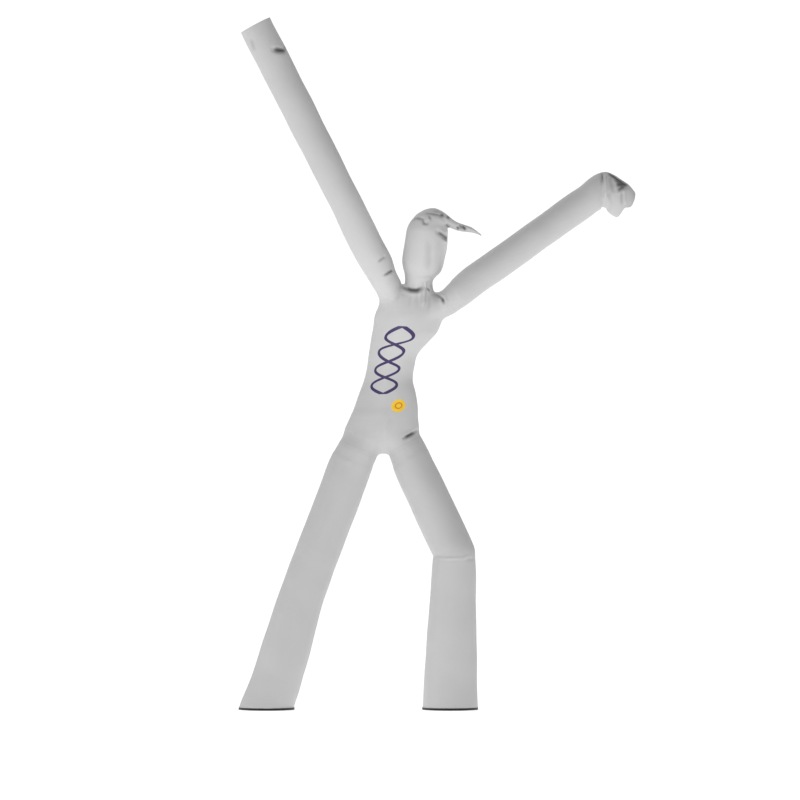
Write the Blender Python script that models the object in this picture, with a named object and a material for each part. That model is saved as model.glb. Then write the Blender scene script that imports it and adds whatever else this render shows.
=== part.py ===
"""Inflatable two-legged air dancer, blown up and standing on its two open feet.

Metres, +Z up. The front faces -Y, and left and right are as seen from the front. The origin is on the
floor, under the middle of the dancer's overall width.

Every tube of cloth is a row of hoops, as a tailor would measure it, with one hoop to a table row. The torso
is one cloth that splits into two hips below and into two shoulders and a neck above, and each limb is its own
tube, sewn on at a hoop. The skin is worked out as one surface and then cut at the seams into its panels.
"""

import math
from collections import namedtuple

import bmesh
import bpy
from mathutils import Vector

# ---- driving sizes -----------------------------------------------------------------------------------------

CLOTH = 0.002  # thickness of the nylon and of its doubled hems
SEAM_GAP = 0.0003  # between two panels at their seam
BAND_HEIGHT = 0.020  # black webbing round each foot
BAND_THICKNESS = 0.003
CUFF_HEIGHT = 0.026  # straight hem inside the webbing
WELD = 0.00005
RELAX_ROUNDS = 8  # how often the torso's branches are evened out
RELAX_MARGIN = 0.03  # beyond the middle of the torso's end hoops, which are kept

BODY_POINTS = 48  # round the torso
ARM_POINTS = 28
SADDLE_STEPS = 10  # along the fold where two tubes meet
BRANCH_STEPS = 6  # hoops from the torso to a limb's seam
ARM_REACH = (ARM_POINTS - SADDLE_STEPS) // 2  # torso points each way from its edge that an arm takes
LEG_POINTS = BODY_POINTS // 2 + SADDLE_STEPS
NECK_POINTS = BODY_POINTS - 4 * ARM_REACH + 2 * SADDLE_STEPS

# ---- hoops -------------------------------------------------------------------------------------------------
# x, y, z of the hoop's middle, its width seen from the front, its depth, and how far it tilts, in degrees:
# 0 is level, and a positive tilt lifts its right-hand edge. A dip draws its front and back down the tube.

Hoop = namedtuple("Hoop", "x y z width depth tilt dip", defaults=(0.0,))

TORSO = [
    Hoop(-0.476, 0.000, 2.430, 0.655, 0.400, 1),
    Hoop(-0.464, 0.000, 2.513, 0.610, 0.410, 2),
    Hoop(-0.443, 0.010, 2.613, 0.565, 0.415, 3),
    Hoop(-0.430, 0.020, 2.730, 0.504, 0.420, 2),
    Hoop(-0.422, 0.030, 2.851, 0.430, 0.420, 2),
    Hoop(-0.398, 0.030, 2.977, 0.412, 0.415, 1),
    Hoop(-0.375, 0.020, 3.094, 0.424, 0.415, -2),
    Hoop(-0.317, 0.010, 3.207, 0.504, 0.420, -2),
    Hoop(-0.269, 0.000, 3.298, 0.565, 0.420, -3),
    Hoop(-0.246, 0.000, 3.394, 0.588, 0.410, -4),
]
LEFT_LEG = [
    Hoop(-1.475, 0.000, 0.000, 0.480, 0.480, 0),
    Hoop(-1.475, 0.000, CUFF_HEIGHT, 0.480, 0.480, 0),
    Hoop(-1.409, 0.000, 0.200, 0.456, 0.458, -12),
    Hoop(-1.311, 0.000, 0.516, 0.424, 0.430, -17),
    Hoop(-1.180, 0.005, 0.950, 0.390, 0.400, -18),
    Hoop(-1.024, 0.010, 1.384, 0.384, 0.390, -20),
    Hoop(-0.859, 0.010, 1.818, 0.380, 0.385, -21),
    Hoop(-0.727, 0.005, 2.166, 0.368, 0.385, -21),
    Hoop(-0.681, 0.000, 2.268, 0.352, 0.390, -24),
]
RIGHT_LEG = [
    Hoop(0.118, 0.000, 0.000, 0.480, 0.480, 0),
    Hoop(0.118, 0.000, CUFF_HEIGHT, 0.480, 0.480, 0),
    Hoop(0.122, -0.005, 0.250, 0.462, 0.465, 0),
    Hoop(0.130, -0.020, 0.516, 0.442, 0.445, 0),
    Hoop(0.143, -0.040, 0.950, 0.400, 0.410, 0),
    Hoop(0.152, -0.055, 1.240, 0.382, 0.392, 1),
    Hoop(0.153, -0.060, 1.310, 0.372, 0.388, 4),
    Hoop(0.152, -0.061, 1.362, 0.367, 0.384, 9),
    Hoop(0.130, -0.058, 1.415, 0.362, 0.382, 19),
    Hoop(0.086, -0.048, 1.510, 0.365, 0.380, 24),
    Hoop(-0.056, -0.028, 1.818, 0.365, 0.380, 24),
    Hoop(-0.213, -0.008, 2.166, 0.348, 0.380, 25),
    Hoop(-0.272, 0.000, 2.278, 0.321, 0.385, 31),
]
LEFT_ARM = [
    Hoop(-0.402, 0.000, 3.646, 0.249, 0.310, 41, 0.03),
    Hoop(-0.463, -0.015, 3.754, 0.242, 0.315, 28, 0.01),
    Hoop(-0.516, -0.035, 3.863, 0.272, 0.300, 24),
    Hoop(-0.582, -0.060, 3.990, 0.286, 0.290, 27),
    Hoop(-0.795, -0.135, 4.420, 0.281, 0.285, 27),
    Hoop(-1.016, -0.190, 4.856, 0.287, 0.290, 27),
    Hoop(-1.237, -0.230, 5.290, 0.293, 0.293, 27),
    Hoop(-1.322, -0.240, 5.460, 0.293, 0.293, 27),
    Hoop(-1.366, -0.245, 5.550, 0.293, 0.293, 27),
    Hoop(-1.410, -0.250, 5.638, 0.293, 0.293, 27),
    Hoop(-1.455, -0.250, 5.725, 0.293, 0.293, 27),
    Hoop(-1.508, -0.250, 5.826, 0.291, 0.291, 27),
    Hoop(-1.562, -0.250, 5.929, 0.288, 0.288, 28),
]
RIGHT_ARM = [
    Hoop(0.096, 0.000, 3.544, 0.233, 0.300, -66, 0.03),
    Hoop(0.195, 0.018, 3.628, 0.249, 0.290, -60, 0.01),
    Hoop(0.299, 0.040, 3.706, 0.267, 0.275, -54),
    Hoop(0.503, 0.090, 3.850, 0.266, 0.268, -54),
    Hoop(0.830, 0.165, 4.084, 0.267, 0.268, -54),
    Hoop(1.150, 0.225, 4.314, 0.267, 0.268, -54),
    Hoop(1.255, 0.240, 4.390, 0.266, 0.268, -54),
    Hoop(1.333, 0.250, 4.445, 0.267, 0.266, -56),
    Hoop(1.375, 0.255, 4.478, 0.285, 0.255, -68),
    Hoop(1.411, 0.260, 4.503, 0.301, 0.235, -83),
    Hoop(1.447, 0.265, 4.516, 0.310, 0.220, -94),
    Hoop(1.506, 0.278, 4.501, 0.305, 0.225, -101),
    Hoop(1.551, 0.295, 4.466, 0.307, 0.225, -111),
    Hoop(1.598, 0.321, 4.431, 0.306, 0.230, -118, 0.006),
    Hoop(1.640, 0.349, 4.394, 0.281, 0.235, -125, 0.015),
]
HEAD = [
    Hoop(-0.152, 0.000, 3.686, 0.252, 0.262, -8, 0.045),
    Hoop(-0.154, -0.004, 3.742, 0.240, 0.250, -5, 0.010),
    Hoop(-0.138, -0.010, 3.780, 0.290, 0.300, -8),
    Hoop(-0.123, -0.015, 3.852, 0.347, 0.350, -8),
    Hoop(-0.108, -0.020, 3.945, 0.366, 0.366, -6),
    Hoop(-0.096, -0.024, 4.010, 0.371, 0.370, -5),
    Hoop(-0.088, -0.025, 4.070, 0.370, 0.370, -4),
    Hoop(-0.084, -0.025, 4.115, 0.365, 0.367, -4),
    Hoop(-0.078, -0.025, 4.160, 0.357, 0.360, -5),
    Hoop(-0.070, -0.025, 4.195, 0.338, 0.342, -7),
    Hoop(-0.058, -0.025, 4.228, 0.309, 0.318, -13),
    Hoop(-0.045, -0.024, 4.246, 0.292, 0.303, -20),
    Hoop(-0.028, -0.022, 4.259, 0.270, 0.285, -28),
    Hoop(-0.008, -0.020, 4.267, 0.251, 0.263, -37),
    Hoop(0.015, -0.018, 4.271, 0.229, 0.240, -46),
    Hoop(0.037, -0.015, 4.267, 0.205, 0.213, -54),
    Hoop(0.060, -0.012, 4.259, 0.178, 0.185, -61),
    Hoop(0.083, -0.009, 4.247, 0.153, 0.157, -66),
    Hoop(0.108, -0.005, 4.232, 0.129, 0.130, -70),
    Hoop(0.172, 0.005, 4.198, 0.089, 0.090, -75),
    Hoop(0.241, 0.015, 4.179, 0.068, 0.068, -76),
    Hoop(0.315, 0.020, 4.159, 0.049, 0.048, -70),
    Hoop(0.388, 0.022, 4.117, 0.020, 0.020, -60),
]

# The lowest point of the arch between the legs, and the tops of the folds between each arm and the neck
CROTCH = Vector((-0.464, 0.000, 2.208))
LEFT_SADDLE = Vector((-0.291, 0.000, 3.708))
RIGHT_SADDLE = Vector((0.004, 0.000, 3.638))
ARCH_ROUNDNESS = 1.3  # how far the cloth runs level as it leaves an arch or a saddle, as a share of its reach
HIP_RISE = 0.15  # how far it keeps the torso's own way, at the hips, arms and neck
ARM_RISE = 0.12
NECK_RISE = 0.26

# ---- folds -------------------------------------------------------------------------------------------------
# The line of each fold as seen from the front, how deep it is pressed and how wide it is. A depth below zero
# is a ridge. They mark where the cloth bends, gathers or is drawn in.

Fold = namedtuple("Fold", "x1 z1 x2 z2 depth width")

FRONT_FOLDS = [
    Fold(-0.325, 3.664, -0.240, 3.632, 0.030, 0.036),  # under the chin, left of the pleat
    Fold(-0.240, 3.632, -0.130, 3.645, 0.030, 0.036),
    Fold(-0.075, 3.650, 0.000, 3.600, 0.024, 0.036),  # under the chin, right of the pleat
    Fold(0.000, 3.600, 0.075, 3.535, 0.030, 0.040),
    Fold(-0.112, 3.760, -0.130, 3.570, -0.012, 0.030),  # the pleat itself
    Fold(-0.500, 3.895, -0.445, 3.928, 0.020, 0.030),  # at the left arm's root
    Fold(-0.462, 3.775, -0.385, 3.803, 0.028, 0.030),
    Fold(-1.418, 5.724, -1.318, 5.714, 0.034, 0.036),  # dent near the left arm's end
    Fold(-0.300, 2.352, -0.178, 2.412, 0.040, 0.030),  # right hip
    Fold(-0.421, 2.260, -0.378, 2.620, -0.012, 0.040),  # ridge up from the crotch
    Fold(0.000, 1.345, 0.320, 1.385, 0.012, 0.030),  # above the knee's crease
    Fold(-0.187, 4.258, -0.105, 4.240, 0.022, 0.026),  # crown
    Fold(-0.105, 4.318, 0.080, 4.276, 0.018, 0.022),
    Fold(0.020, 4.145, 0.085, 4.068, 0.040, 0.034),  # side of the head, under the tip
    Fold(1.430, 4.640, 1.440, 4.510, 0.018, 0.022),  # each side of the kink's ridge
    Fold(1.500, 4.622, 1.630, 4.540, 0.045, 0.034),
]
BACK_FOLDS = [
    Fold(-0.300, 3.670, -0.150, 3.630, 0.035, 0.032),  # nape
    Fold(-0.150, 3.630, 0.020, 3.590, 0.035, 0.032),
    Fold(-0.600, 2.400, -0.470, 2.330, 0.030, 0.040),  # under the seat
    Fold(-0.330, 2.350, -0.200, 2.400, 0.035, 0.036),
    Fold(-0.560, 2.900, -0.400, 2.870, 0.020, 0.045),  # small of the back
    Fold(0.000, 1.340, 0.300, 1.370, 0.030, 0.040),  # behind the knee
    Fold(0.110, 3.560, 0.200, 3.680, 0.022, 0.034),  # at the arms' roots
    Fold(-0.470, 3.780, -0.390, 3.830, 0.022, 0.034),
    Fold(1.440, 4.620, 1.430, 4.400, 0.030, 0.034),  # behind the kink
]

# Colours as the cloth and the webbing show them, linear
GREY_NYLON = (0.55, 0.55, 0.55, 1.0)
BLACK_WEBBING = (0.012, 0.012, 0.013, 1.0)


# ---- curves ------------------------------------------------------------------------------------------------


def spline(before, start, end, after, t):
    """The value at share t from start to end on a smooth curve through all four (Catmull-Rom)."""
    return 0.5 * (
        2 * start
        + (end - before) * t
        + (2 * before - 5 * start + 4 * end - after) * t**2
        + (3 * start - before - 3 * end + after) * t**3
    )


def more_hoops(hoops, steps):
    """The table's hoops with others between them, steps to each gap between two rows."""
    padded = [hoops[0]] + hoops + [hoops[-1]]
    made = []
    for around in zip(padded, padded[1:], padded[2:], padded[3:]):
        for step in range(steps):
            made.append(Hoop(*(spline(*values, step / steps) for values in zip(*around))))
    return made + [hoops[-1]]


def hoop_points(hoop, axis, count):
    """count points round an ellipse, from its right-hand edge by the back. axis is the way the tube runs."""
    tilt = math.radians(hoop.tilt)
    axis = axis.normalized()
    middle = Vector((hoop.x, hoop.y, hoop.z))
    across = Vector((math.cos(tilt), 0, math.sin(tilt)))
    back = axis.cross(across).normalized()
    points = []
    for step in range(count):
        cosine, sine = math.cos(math.tau * step / count), math.sin(math.tau * step / count)
        point = middle + across * (hoop.width / 2 * cosine) + back * (hoop.depth / 2 * sine)
        points.append(point - axis * (hoop.dip * sine**2))
    return points


def tube(hoops, count, steps=1):
    """Rings of points along a tube, each at right angles to the way it runs."""
    hoops = more_hoops(hoops, steps)
    middles = [Vector((hoop.x, hoop.y, hoop.z)) for hoop in hoops]
    rings = []
    for index, hoop in enumerate(hoops):
        axis = middles[min(index + 1, len(hoops) - 1)] - middles[max(index - 1, 0)]
        rings.append(hoop_points(hoop, axis, count))
    return rings


# ---- the torso's branches ----------------------------------------------------------------------------------
# A rim point is where a branch starts: its place, which way the cloth leaves the torso there, and how far it
# is up an arch or a saddle, from 0 on the torso's own hoop to 1 at the top.

Rim = namedtuple("Rim", "place way arch")


def torso_rim(last, before):
    """The torso's end hoop as rim points."""
    return [Rim(place, (place - inner).normalized(), 0.0) for place, inner in zip(last, before)]


def saddle(back, top, front):
    """Rim points of the half ellipse from back over top to front, without its two ends."""
    middle = (back.place + front.place) / 2
    points = []
    for step in range(1, SADDLE_STEPS):
        angle = math.pi * step / SADDLE_STEPS
        place = middle + (back.place - middle) * math.cos(angle) + (top - middle) * math.sin(angle)
        points.append(Rim(place, back.way.lerp(front.way, step / SADDLE_STEPS), math.sin(angle)))
    return points


def branch(rim, limb, rise, arrive):
    """Rings from a rim to a limb's first hoop. They leave the torso its own way, or level over an arch."""
    middle = sum(limb[0], Vector()) / len(limb[0])
    rings = [[] for _ in range(BRANCH_STEPS + 1)]
    for spot, end, onward in zip(rim, limb[0], limb[1]):
        level = Vector((math.copysign(ARCH_ROUNDNESS * (end.x - spot.place.x), middle.x - spot.place.x), 0, 0))
        leave = spot.way * (rise * (1 - spot.arch)) + level * spot.arch
        reach = (onward - end).normalized() * arrive
        for step, ring in enumerate(rings):
            t = step / BRANCH_STEPS
            start_part = spot.place * (2 * t**3 - 3 * t**2 + 1) + leave * (t**3 - 2 * t**2 + t)
            ring.append(start_part + end * (3 * t**2 - 2 * t**3) + reach * (t**3 - t**2))
    return rings


def hips(torso, left_leg, right_leg):
    """Rings from each leg's top hoop up to the torso's lowest hoop, split in two at the crotch."""
    waist = torso_rim(torso[0], torso[1])
    back, front = BODY_POINTS // 4, 3 * BODY_POINTS // 4
    crotch = saddle(waist[back], CROTCH, waist[front])
    half = SADDLE_STEPS // 2
    left = crotch[half - 1 :: -1] + waist[back : front + 1] + crotch[: half - 1 : -1]
    right = waist[: back + 1] + crotch + waist[front:]
    return [branch(rim, leg[::-1], HIP_RISE, 0.08)[::-1] for rim, leg in ((left, left_leg), (right, right_leg))]


def shoulders(torso, left_arm, neck, right_arm):
    """Rings from the torso's highest hoop, split in three, up to the seams of the arms and of the head."""
    chest = torso_rim(torso[-1], torso[-2])
    half = SADDLE_STEPS // 2
    back_left, front_left = BODY_POINTS // 2 - ARM_REACH, BODY_POINTS // 2 + ARM_REACH
    back_right, front_right = ARM_REACH, BODY_POINTS - ARM_REACH
    left_fold = saddle(chest[back_left], LEFT_SADDLE, chest[front_left])
    right_fold = saddle(chest[back_right], RIGHT_SADDLE, chest[front_right])
    left = left_fold[half - 1 :: -1] + chest[back_left : front_left + 1] + left_fold[: half - 1 : -1]
    right = chest[: back_right + 1] + right_fold + chest[front_right:]
    back_of_neck = right_fold[half - 1 :: -1] + chest[back_right : back_left + 1]
    front_of_neck = chest[front_left : front_right + 1] + right_fold[: half - 1 : -1]
    middle = back_of_neck + left_fold + front_of_neck
    return [
        branch(left, left_arm, ARM_RISE, 0.05),
        branch(middle, neck, NECK_RISE, 0.03),
        branch(right, right_arm, ARM_RISE, 0.05),
    ]


# ---- the skin's finish -------------------------------------------------------------------------------------


def relax_branches(mesh):
    """Evens out the torso beyond its end hoops. Its hoops and the limbs' seams stay where they are."""
    lowest, highest = TORSO[0].z - RELAX_MARGIN, TORSO[-1].z + RELAX_MARGIN
    torso = set(panel_faces(mesh, 0))
    free = [v for v in mesh.verts if torso.issuperset(v.link_faces) and not lowest < v.co.z < highest]
    for _ in range(RELAX_ROUNDS):
        bmesh.ops.smooth_vert(mesh, verts=free, factor=0.5, use_axis_x=True, use_axis_y=True, use_axis_z=True)


def distance_to(fold, point):
    """How far a point is from a fold's line, as seen from the front."""
    start, end = Vector((fold.x1, fold.z1)), Vector((fold.x2, fold.z2))
    seen = Vector((point.x, point.z))
    along = (seen - start).dot(end - start) / (end - start).length_squared
    return (seen - start.lerp(end, min(max(along, 0), 1))).length


def press_folds(mesh):
    """Presses the folds into the side of the skin that they are on, fading out where it turns edge on."""
    mesh.normal_update()
    for vert in mesh.verts:
        folds = BACK_FOLDS if vert.normal.y > 0 else FRONT_FOLDS
        sunk = sum(fold.depth * math.exp(-((distance_to(fold, vert.co) / fold.width) ** 2)) for fold in folds)
        vert.co -= vert.normal * (sunk * min(1, 1.5 * abs(vert.normal.y)))
    mesh.normal_update()


# ---- solids ------------------------------------------------------------------------------------------------


def skin(patches, closed_tips=()):
    """One welded surface from (panel, rings) patches. Each face keeps its panel's number."""
    mesh = bmesh.new()
    panel_layer = mesh.faces.layers.int.new("panel")
    for panel, rings in patches:
        rows = [[mesh.verts.new(point) for point in ring] for ring in rings]
        for lower, upper in zip(rows, rows[1:]):
            for i in range(len(lower)):
                j = (i + 1) % len(lower)
                mesh.faces.new((lower[i], lower[j], upper[j], upper[i]))[panel_layer] = panel
        if panel in closed_tips:
            mesh.faces.new(rows[-1])[panel_layer] = panel
    bmesh.ops.remove_doubles(mesh, verts=mesh.verts, dist=WELD)
    mesh.verts.index_update()
    mesh.normal_update()
    return mesh


def panel_faces(mesh, panel):
    layer = mesh.faces.layers.int["panel"]
    return [face for face in mesh.faces if face[layer] == panel]


def outer_points(faces):
    """Where each vertex of a panel goes: as it is, or drawn back by half the gap where a seam crosses it."""
    own = set(faces)
    places = {}
    for vert in {vert for face in faces for vert in face.verts}:
        places[vert] = vert.co.copy()
        if any(face not in own for face in vert.link_faces):
            seam = [edge for edge in vert.link_edges if len(own.intersection(edge.link_faces)) == 1]
            inward = [e.other_vert(vert).co for e in vert.link_edges if e not in seam and own.intersection(e.link_faces)]
            towards = sum(inward, Vector()) / len(inward) - vert.co
            places[vert] += towards.normalized() * (SEAM_GAP / 2)
    return places


def panel_solid(name, faces, thickness, material):
    """A panel of the skin as a closed sheet, its thickness laid inwards."""
    places = outer_points(faces)
    solid = bmesh.new()
    outer = {vert: solid.verts.new(place) for vert, place in places.items()}
    inner = {vert: solid.verts.new(place - vert.normal * thickness) for vert, place in places.items()}
    own = set(faces)
    for face in faces:
        solid.faces.new([outer[vert] for vert in face.verts])
        solid.faces.new([inner[vert] for vert in reversed(face.verts)])
        for loop in face.loops:
            if len(own.intersection(loop.edge.link_faces)) == 1:
                a, b = loop.vert, loop.link_loop_next.vert
                # Both panels of a seam cut its edge along the same diagonal, so that their edges stay parallel
                if a.index < b.index:
                    solid.faces.new((outer[b], outer[a], inner[b]))
                    solid.faces.new((outer[a], inner[a], inner[b]))
                else:
                    solid.faces.new((outer[b], outer[a], inner[a]))
                    solid.faces.new((outer[b], inner[a], inner[b]))
    data = bpy.data.meshes.new(name)
    solid.to_mesh(data)
    solid.free()
    data.shade_smooth()
    data.set_sharp_from_angle(angle=math.radians(60))
    data.materials.append(material)
    node = bpy.data.objects.new(name, data)
    bpy.context.scene.collection.objects.link(node)
    return node


def foot_band(name, foot, material):
    """The webbing round a foot, just outside the cloth's straight hem."""
    across = foot.width + 2 * (SEAM_GAP + BAND_THICKNESS)
    hoops = [Hoop(foot.x, foot.y, z, across, across, 0) for z in (0, BAND_HEIGHT)]
    mesh = skin([(0, tube(hoops, LEG_POINTS))])
    panel_solid(name, list(mesh.faces), BAND_THICKNESS, material)
    mesh.free()


# ---- the dancer --------------------------------------------------------------------------------------------


def material(name, colour, roughness):
    made = bpy.data.materials.new(name)
    made.use_nodes = True
    shader = made.node_tree.nodes["Principled BSDF"]
    shader.inputs["Base Color"].default_value = colour
    shader.inputs["Roughness"].default_value = roughness
    made.diffuse_color = colour
    return made


def clear_scene():
    for thing in list(bpy.data.objects):
        bpy.data.objects.remove(thing)


def main():
    clear_scene()
    nylon = material("grey_nylon", GREY_NYLON, 0.55)
    webbing = material("black_webbing", BLACK_WEBBING, 0.8)

    torso = tube(TORSO, BODY_POINTS, steps=2)
    left_leg = tube(LEFT_LEG, LEG_POINTS)
    right_leg = tube(RIGHT_LEG, LEG_POINTS)
    left_arm = tube(LEFT_ARM, ARM_POINTS)
    right_arm = tube(RIGHT_ARM, ARM_POINTS)
    head = tube(HEAD, NECK_POINTS)

    panels = ["torso", "left_leg", "right_leg", "left_arm", "right_arm", "head"]
    patches = list(enumerate([torso, left_leg, right_leg, left_arm, right_arm, head]))
    patches += [(0, rings) for rings in hips(torso, left_leg, right_leg)]
    patches += [(0, rings) for rings in shoulders(torso, left_arm, head, right_arm)]
    mesh = skin(patches, closed_tips=(5,))
    relax_branches(mesh)
    press_folds(mesh)
    for number, name in enumerate(panels):
        panel_solid(name, panel_faces(mesh, number), CLOTH, nylon)
    mesh.free()

    foot_band("left_foot_band", LEFT_LEG[0], webbing)
    foot_band("right_foot_band", RIGHT_LEG[0], webbing)


main()
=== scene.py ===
# %% [markdown]
# # A two-legged air dancer
# An air dancer is a figure of thin coated nylon that two blowers keep upright. It has no frame: each limb
# is a plain tube of cloth, the body is where the tubes are sewn together, and the air leaves through open
# ends. This lesson builds it the way a tailor thinks of it, as hoops: for every tube, a short table says
# where a hoop of cloth is, how wide and how deep it is and how it tilts. Numpy turns each table into a
# fine surface, and then folds are pressed into that surface, one line at a time.
#
# Metres, +Z up, the front faces -Y. Left and right are as seen from the front.

# %% The imported model as a frame
import math
from collections import namedtuple

import bpy
import numpy as np
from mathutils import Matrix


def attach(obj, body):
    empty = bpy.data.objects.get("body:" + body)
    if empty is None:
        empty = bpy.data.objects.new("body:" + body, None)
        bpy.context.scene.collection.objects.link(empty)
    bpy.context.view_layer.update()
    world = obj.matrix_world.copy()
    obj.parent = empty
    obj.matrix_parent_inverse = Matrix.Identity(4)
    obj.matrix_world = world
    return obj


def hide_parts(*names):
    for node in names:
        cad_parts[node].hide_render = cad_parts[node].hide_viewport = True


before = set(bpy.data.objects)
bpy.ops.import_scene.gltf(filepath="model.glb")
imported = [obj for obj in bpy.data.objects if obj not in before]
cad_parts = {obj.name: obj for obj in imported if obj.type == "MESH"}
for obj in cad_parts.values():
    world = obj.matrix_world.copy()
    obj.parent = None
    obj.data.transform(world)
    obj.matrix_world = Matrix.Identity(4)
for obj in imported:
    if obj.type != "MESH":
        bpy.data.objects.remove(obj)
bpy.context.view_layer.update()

print("nodes:", ", ".join(sorted(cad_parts)))

# %% [markdown]
# ## The hoops
# One row to a hoop: the middle of the hoop (x, y, z), its width from the front, its depth, its tilt in
# degrees and its dip. A level hoop has no tilt, and a positive tilt lifts its right-hand edge. A dip
# draws the front and the back of the hoop down the tube, which is how a round neck sits on sloping
# shoulders. The solids of the frame have nearly the same hoops, so that every piece of cloth lies where
# its solid is.

# %% Hoops of the body and legs
HEM = 0.026  # height of the straight hem inside the webbing of a foot

#    x      y      z      width  depth  tilt  dip
TORSO = [
    (-0.476, 0.000, 2.430, 0.655, 0.400, 1, 0),
    (-0.464, 0.000, 2.513, 0.610, 0.410, 2, 0),
    (-0.443, 0.010, 2.613, 0.565, 0.415, 3, 0),
    (-0.430, 0.020, 2.730, 0.504, 0.420, 2, 0),
    (-0.422, 0.030, 2.851, 0.430, 0.420, 2, 0),
    (-0.398, 0.030, 2.977, 0.412, 0.415, 1, 0),
    (-0.375, 0.020, 3.094, 0.424, 0.415, -2, 0),
    (-0.317, 0.010, 3.207, 0.504, 0.420, -2, 0),
    (-0.269, 0.000, 3.298, 0.565, 0.420, -3, 0),
    (-0.246, 0.000, 3.394, 0.588, 0.410, -4, 0),
]
LEFT_LEG = [
    (-1.475, 0.000, 0.000, 0.480, 0.480, 0, 0),
    (-1.475, 0.000, HEM, 0.480, 0.480, 0, 0),
    (-1.452, 0.000, 0.090, 0.462, 0.466, -5, 0),
    (-1.411, 0.000, 0.200, 0.440, 0.452, -12, 0),
    (-1.311, 0.000, 0.516, 0.424, 0.430, -17, 0),
    (-1.180, 0.005, 0.950, 0.390, 0.400, -18, 0),
    (-1.024, 0.010, 1.384, 0.384, 0.390, -20, 0),
    (-0.859, 0.010, 1.818, 0.380, 0.385, -21, 0),
    (-0.725, 0.005, 2.166, 0.372, 0.385, -21, 0),
    (-0.677, 0.000, 2.266, 0.362, 0.390, -24, 0),
]
RIGHT_LEG = [
    (0.118, 0.000, 0.000, 0.480, 0.480, 0, 0),
    (0.118, 0.000, HEM, 0.480, 0.480, 0, 0),
    (0.122, -0.005, 0.250, 0.462, 0.465, 0, 0),
    (0.130, -0.020, 0.516, 0.442, 0.445, 0, 0),
    (0.143, -0.040, 0.950, 0.400, 0.410, 0, 0),
    (0.152, -0.055, 1.240, 0.382, 0.392, 1, 0),
    (0.153, -0.060, 1.310, 0.372, 0.388, 4, 0),
    (0.152, -0.061, 1.362, 0.367, 0.384, 9, 0),
    (0.130, -0.058, 1.415, 0.362, 0.382, 19, 0),
    (0.086, -0.048, 1.510, 0.365, 0.380, 24, 0),
    (-0.059, -0.028, 1.818, 0.360, 0.380, 24, 0),
    (-0.221, -0.008, 2.166, 0.347, 0.380, 25, 0),
    (-0.268, 0.000, 2.281, 0.333, 0.385, 31, 0),
]

print("hoops in the torso and the legs:", len(TORSO), len(LEFT_LEG), len(RIGHT_LEG))

# %% Hoops of the arms
LEFT_ARM = [
    (-0.402, 0.000, 3.646, 0.249, 0.310, 41, 0.03),
    (-0.463, -0.015, 3.754, 0.242, 0.315, 28, 0.01),
    (-0.516, -0.035, 3.863, 0.272, 0.300, 24, 0),
    (-0.585, -0.060, 3.990, 0.281, 0.288, 27, 0),
    (-0.799, -0.135, 4.420, 0.275, 0.282, 27, 0),
    (-1.021, -0.190, 4.856, 0.281, 0.287, 27, 0),
    (-1.242, -0.230, 5.290, 0.287, 0.291, 27, 0),
    (-1.328, -0.240, 5.460, 0.288, 0.291, 27, 0),
    (-1.373, -0.245, 5.550, 0.289, 0.292, 27, 0),
    (-1.418, -0.250, 5.638, 0.290, 0.292, 27, 0),
    (-1.466, -0.250, 5.725, 0.291, 0.292, 27, 0),
    (-1.518, -0.250, 5.826, 0.290, 0.291, 27, 0),
    (-1.565, -0.250, 5.929, 0.286, 0.288, 28, 0),
]
RIGHT_ARM = [
    (0.100, 0.000, 3.537, 0.241, 0.300, -66, 0.03),
    (0.199, 0.018, 3.620, 0.257, 0.290, -60, 0.01),
    (0.299, 0.040, 3.706, 0.267, 0.275, -54, 0),
    (0.503, 0.090, 3.850, 0.266, 0.268, -54, 0),
    (0.830, 0.165, 4.084, 0.267, 0.268, -54, 0),
    (1.150, 0.225, 4.314, 0.267, 0.268, -54, 0),
    (1.255, 0.240, 4.390, 0.266, 0.268, -54, 0),
    (1.336, 0.250, 4.448, 0.267, 0.266, -56, 0),
    (1.379, 0.255, 4.482, 0.285, 0.255, -68, 0),
    (1.416, 0.260, 4.508, 0.301, 0.235, -83, 0),
    (1.452, 0.265, 4.521, 0.310, 0.220, -94, 0),
    (1.511, 0.278, 4.505, 0.305, 0.225, -101, 0),
    (1.555, 0.295, 4.470, 0.307, 0.225, -111, 0),
    (1.603, 0.321, 4.435, 0.306, 0.230, -118, 0.006),
    (1.645, 0.349, 4.398, 0.281, 0.235, -125, -0.008),
]
print("hoops in the arms:", len(LEFT_ARM), len(RIGHT_ARM))

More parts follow.
